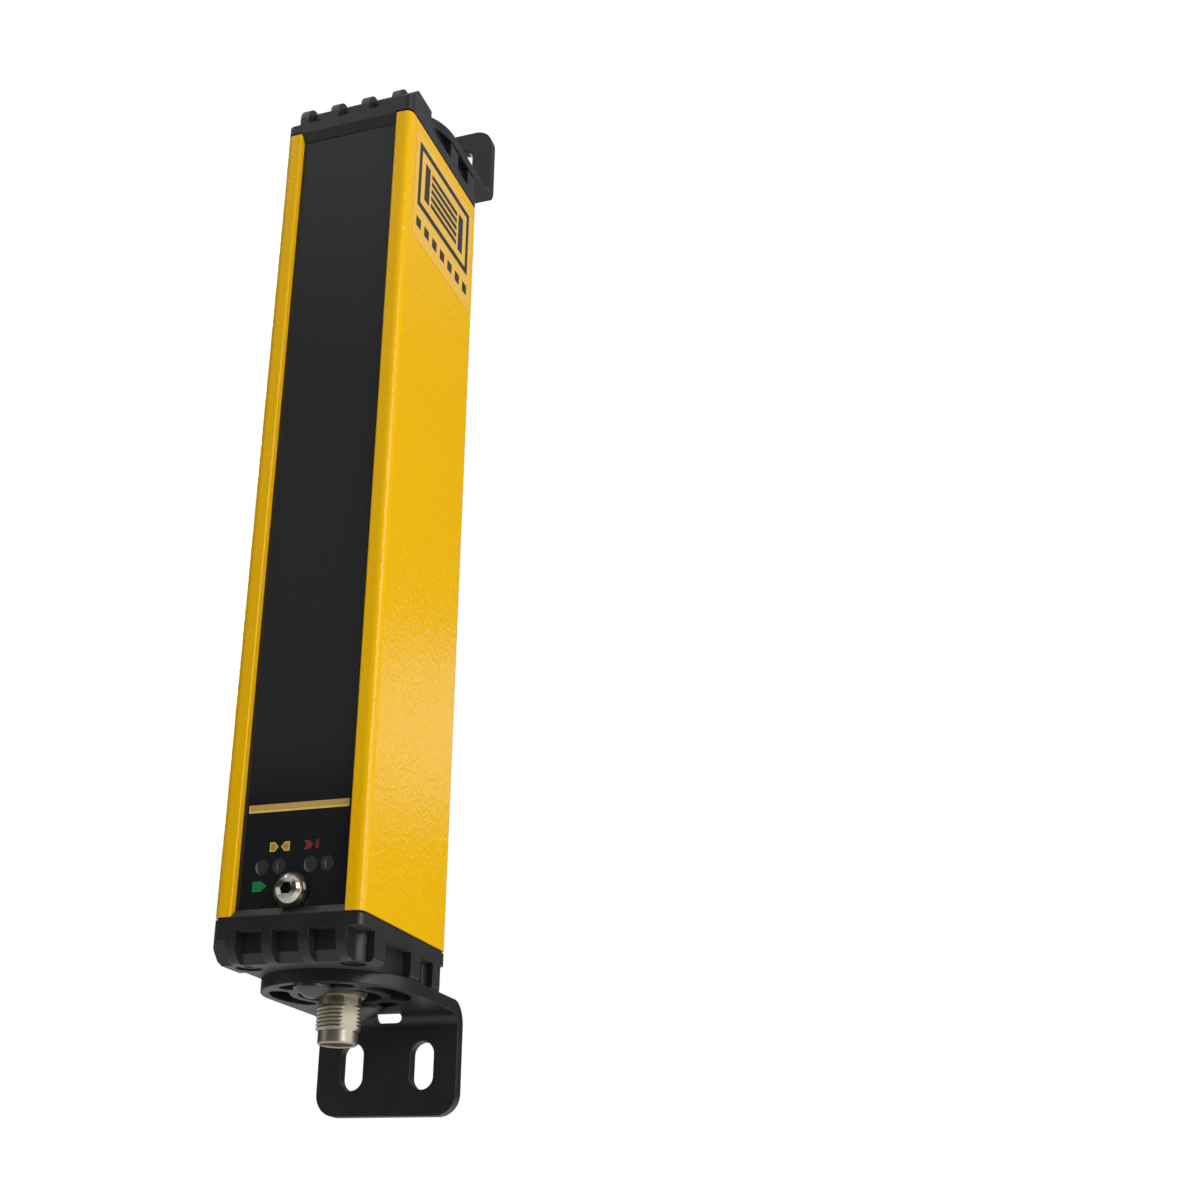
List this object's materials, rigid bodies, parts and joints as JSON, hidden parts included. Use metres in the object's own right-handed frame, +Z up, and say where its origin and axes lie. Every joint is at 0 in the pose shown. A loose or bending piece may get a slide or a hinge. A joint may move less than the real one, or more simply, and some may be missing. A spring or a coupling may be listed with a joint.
{
  "type": "safety light curtain receiver",
  "caption": "Slim yellow receiver bar of a safety light curtain with a dark window, ribbed end caps, a round plug connector and swivelling angle brackets.",
  "frame": {"origin": "wall face of the lower bracket, midway between its two slots", "axes": "+Z up along the bar, +Y out of the bracket's wall face towards the wall, +X to the right seen from the front"},
  "size_m": [0.0422, 0.0698, 0.3277],
  "materials": {
    "yellow_paint": "satin powder coat",
    "window_plastic": "dark tinted, semi gloss",
    "rubber_seal": "matt",
    "cap_plastic": "fine moulded texture",
    "black_screw": "blackened steel",
    "bracket_black": "satin black coat",
    "zinc_screw": "dark zinc",
    "connector_nickel": "nickel plated",
    "nut_dark": "dark plated",
    "insert_plastic": "moulded",
    "contact_gold": "gold plated",
    "board_green": "solder mask",
    "chip_black": "moulded",
    "led_resin": "water clear",
    "clear_plastic": "polished",
    "carrier_plastic": "moulded",
    "window_screw_steel": "polished stainless",
    "nut_brass": "turned",
    "label_film": "printed film"
  },
  "bodies": {
    "lower_bracket": {"lower_bracket": "bracket_black"},
    "bar": {"housing_profile": "yellow_paint", "front_window": "window_plastic", "window_seal_left": "rubber_seal", "window_seal_right": "rubber_seal", "lower_end_cap": "cap_plastic", "upper_end_cap": "cap_plastic", "lower_cap_gasket": "rubber_seal", "upper_cap_gasket": "rubber_seal", "lower_cap_screws": "black_screw", "upper_cap_screws": "black_screw", "lower_bracket_screws": "zinc_screw", "upper_bracket_screws": "zinc_screw", "connector_shell": "connector_nickel", "connector_seal": "rubber_seal", "connector_nut": "nut_dark", "connector_insert": "insert_plastic", "connector_pins": "contact_gold", "connector_board": "board_green", "optical_board": "board_green", "logic_board": "board_green", "logic_chips": "chip_black", "board_link": "chip_black", "photodiodes": "chip_black", "indicator_leds": "led_resin", "light_guides": "clear_plastic", "lens_carrier": "carrier_plastic", "lenses": "clear_plastic", "window_screw": "window_screw_steel", "window_screw_seal": "rubber_seal", "window_nut": "nut_brass", "side_label": "label_film"},
    "upper_bracket": {"upper_bracket": "bracket_black"}
  },
  "joints": [
    {"name": "bar_swivel", "type": "hinge", "parent": "lower_bracket", "child": "bar", "pos_m": [0, -0.0349, 0.017], "axis": [0, 0, 1], "range_deg": [-30, 30]},
    {"name": "upper_bracket_swivel", "type": "hinge", "parent": "bar", "child": "upper_bracket", "pos_m": [0, -0.0349, 0.2839], "axis": [0, 0, 1], "range_deg": [-30, 30]}
  ]
}
